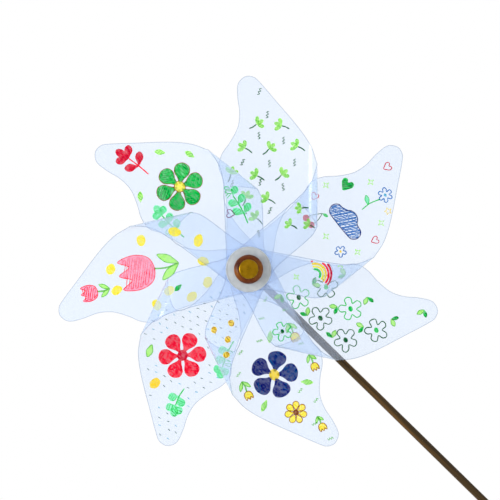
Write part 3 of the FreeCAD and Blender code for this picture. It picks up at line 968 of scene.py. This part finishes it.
def draw_sprouts(d):
    """Pale sprouts in staggered rows, with squiggles between them."""
    for i, at in enumerate(lattice(PANEL, 17, 5.5)):
        d.sprout(at, 5.2, 100 + 70 * (-1) ** i * rng.uniform(0.4, 1))
    for at in lattice(PANEL, 17, 4, phase=0.5):
        d.squiggle(at, 4.6, rng.uniform(50, 100))
    for at in lattice(FLAP_PANEL, 13, 4):
        d.sprout(at, 4.4, rng.uniform(120, 200), flap=True)


def draw_sky(d):
    """A cloud, stars, hearts, cherries and a small flower, with a rainbow on the flap."""
    d.cloud(MIDDLE, 12, "blue", "navy")
    d.cherries((0, 50), 5.2)
    d.heart((-3, 81), 4.2, 15, "green", detail="pine")
    for at, size, turn in (((4, 108), 2.6, -10), ((-10, 61), 2.4, 20), ((35, 73), 2.4, -15)):
        d.heart(at, size, turn, "crimson")
    d.stroke([(15, 79), (15, 85), (17, 92)], "green", 0.7)
    d.leaf((15, 84), 155, 6, 2.6, "mint", edge="green")
    d.outline_flower((17, 96), 4.6, "blue", "sky", petals=6)
    d.outline_flower((27, 52), 3.6, "blue", "amber")
    for at in ((-11, 71), (29, 83), (34, 60), (14, 51), (5, 94), (-9, 48)):
        d.star(at, 2.4, "lime")
    d.star((26, 91), 2.4, "amber", points=5, waist=0.45)
    d.rainbow(FLAP_MIDDLE, 10, 10, ("crimson", "red", "amber", "yellow", "green"), flap=True)
    for at in ((33, 46), (22, 20)):
        d.star(at, 2.2, "lime", flap=True)


def draw_outline_flowers(d):
    """Flowers drawn in one line, in staggered rows, with small leaves between them."""
    for i, at in enumerate(lattice(PANEL, 20, 8, uneven=0.06)):
        line, heart = "pine" if i % 3 else "green", "green" if i % 2 else "pine"
        d.outline_flower(at, 7.4, line, heart, rng.uniform(0, 72))
    for at in lattice(PANEL, 20, 5, uneven=0.06, phase=0.5):
        turn = rng.uniform(0, 360)
        d.leaf(at, turn, 5, 2.6, "lime", edge="leaf")
        d.leaf(at, turn + 75, 5, 2.6, "green", detail="pine")
    for at in lattice(FLAP_PANEL, 15, 6, uneven=0.06):
        d.outline_flower(at, 6, "green", "pine", rng.uniform(0, 72), flap=True)


def draw_blue_bloom(d):
    """A dark blue bloom under a yellow one, small tulips and squiggles."""
    d.bloom(MIDDLE, 15, "navy", "blue", None, "amber")
    d.bloom((12, 93), 7, "yellow", "amber", "brown", "brown", petals=7)
    for at, size, stem in (((-8, 50), 3.6, 7), ((34, 70), 3.4, 7), ((-11, 72), 3.2, 6), ((1, 108), 3.2, 5)):
        d.tulip(at, size, 90, "yellow", "amber", "brown", stem)
    for at, turn in (((1, 77), 150), ((25, 78), 40), ((4, 40), 60)):
        d.leaf(at, turn, 8, 3.6, "lime", detail="leaf")
    for at in lattice(PANEL, 14, 3, ((MIDDLE, 18), ((12, 93), 10)), phase=0.3):
        d.squiggle(at, 3.6, rng.uniform(-20, 30), "leaf")
    for at in lattice(FLAP_PANEL, 10, 3.5):
        d.blob(at, 2.2, 1.9, "amber", rng.uniform(0, 90), detail="brown", flap=True)


def draw_red_bloom(d):
    """A red bloom between mint sprigs, over rows of short dashes."""
    d.bloom(MIDDLE, 15, "red", "crimson", None, "crimson", petals=6)
    d.sprig((-11, 44), 80, 24, "mint", "green", 3, 6, 0.6)
    d.sprig((4, 84), 70, 18, "mint", "green", 2, 12, 0.6)
    d.blob((22, 89), 3.8, 3, "amber", 70, detail="yellow")
    d.leaf((34, 68), 95, 8, 4, "lime", edge="leaf")
    keep_off = ((MIDDLE, 16.5), ((-9, 56), 9), ((8, 93), 9), ((22, 89), 6), ((34, 72), 6))
    for at in lattice(PANEL, 5.5, 2, keep_off):
        turn = rng.uniform(-25, 15)
        d.stroke([at - ray(turn, 0.9), at, at + ray(turn, 0.9)], rng.choice(("grey", "grey", "sky")), 0.45)
    for at in lattice(FLAP_PANEL, 12, 4):
        d.leaf(at, rng.uniform(0, 360), 6, 3, "green", detail="pine", flap=True)


def draw_tulips(d):
    """Two pink tulips among yellow dots."""
    d.tulip(MIDDLE, 14, 90, "pink", "red", "red", 16)
    d.tulip((8, 99), 6.5, 90, "pink", "red", "red", 8)
    for at in lattice(PANEL, 13, 4.5, ((MIDDLE, 17), ((14, 48), 13), ((8, 99), 11))):
        d.blob(at, 3.6, 2.8, "yellow", rng.uniform(0, 180), detail="amber")
    for at in lattice(FLAP_PANEL, 13, 5):
        d.blob(at, 4.0, 2.8, "yellow", rng.uniform(0, 180), detail="amber", flap=True)


def draw_green_bloom(d):
    """A green bloom with crimson and mint sprigs."""
    d.bloom(MIDDLE, 15, "green", "pine", "brown", "yellow", petals=6)
    d.sprig((8, 86), 84, 24, "crimson", "red", 2, 4, 0.42)
    d.sprig((-9, 44), 92, 26, "mint", "green", 3, -4, 0.5)
    for at, turn in (((34, 70), 95), ((-9, 79), 40), ((25, 86), 120)):
        d.leaf(at, turn, 7, 3.6, "lime", detail="leaf")
    d.sprig((22, 18), 55, 26, "mint", "green", 3, 6, 0.5, flap=True)
    d.heart((20, 30), 2.6, 30, "mauve", flap=True)


for number, draw in enumerate((draw_sprouts, draw_sky, draw_outline_flowers, draw_blue_bloom, draw_red_bloom,
                               draw_tulips, draw_green_bloom), start=1):
    drawing = Drawing(number)
    draw(drawing)
    drawing.finish()


# ---------------- stage, light and camera
def white_stage():
    """A plain pale floor just under the stick's foot."""
    s = Shader("floor_paper")
    cloud = s.noise((9, 9, 9), 3.0)
    tone = s.ramp(cloud, (0.3, (0.80, 0.80, 0.79, 1)), (0.7, (0.84, 0.84, 0.83, 1)))
    floor_finish = s.finish(s.node("BsdfDiffuse", Color=tone).outputs[0])
    circle = bmesh.new()
    bmesh.ops.create_circle(circle, cap_ends=True, segments=96, radius=0.5)
    mesh = bpy.data.meshes.new("floor")
    circle.to_mesh(mesh)
    circle.free()
    mesh.materials.append(floor_finish)
    floor = add_object("floor", mesh)
    floor.location.z = cad_low.z - 0.001


def studio_world():
    """A soft white studio, a little brighter behind the object than in front."""
    s = Shader("studio", bpy.data.worlds)
    where = s.node("TexCoord").outputs["Generated"]
    behind = s.node("SeparateXYZ", Vector=where).outputs["Y"]
    strength = s.spread(behind, 0.96, 1.0, -0.9, 0.5, interpolation_type="SMOOTHSTEP")
    light = s.node("Background", Color=(1, 1, 1, 1), Strength=strength).outputs[0]
    bpy.context.scene.world = s.finish(light, "World")


def softbox(name, where, target, size, power):
    """A square light aimed at a target; size in metres, power in watts."""
    data = bpy.data.lights.new(name, "AREA")
    data.shape, data.size, data.energy = "SQUARE", size, power
    lamp = add_object(name, data)
    lamp.location = where
    lamp.rotation_euler = (target - where).to_track_quat("-Z", "Y").to_euler()


def aim_camera():
    """Looks along the axle at the rotor's front, held at the angle of the tilted stick."""
    hub = Vector((0, disc_high.y, HUB_Z * MM))
    tilt = radians(REST_TURN + 0.1)
    right = Vector((cos(tilt), 0, -sin(tilt)))
    up = Vector((sin(tilt), 0, cos(tilt)))
    # How far off the camera stands, and the width it takes in at the leaves, 26 mm behind the disc.
    away, seen, leaves = 1.5, 0.3125, 0.026
    aim = hub + right * 0.0009 + up * 0.0119
    eye = hub + Vector((0, -away, 0)) - right * 0.008 - up * 0.018
    forward = (aim - eye).normalized()
    up = (up - forward * up.dot(forward)).normalized()
    right = forward.cross(up)
    data = bpy.data.cameras.new("camera")
    data.sensor_width = 36
    data.lens = data.sensor_width * (away + leaves) / seen
    camera = add_object("camera", data)
    turn = Matrix((right, up, -forward)).transposed()
    camera.matrix_world = Matrix.Translation(eye) @ turn.to_4x4()
    bpy.context.scene.camera = camera


white_stage()
studio_world()
hub_point = Vector((0, disc_low.y, HUB_Z * MM))
softbox("top_light", hub_point + Vector((-0.5, -0.4, 0.5)), hub_point, 0.4, 5)
aim_camera()
bpy.context.scene.view_settings.view_transform = "Standard"
bpy.context.scene.cycles.transparent_max_bounces = 64
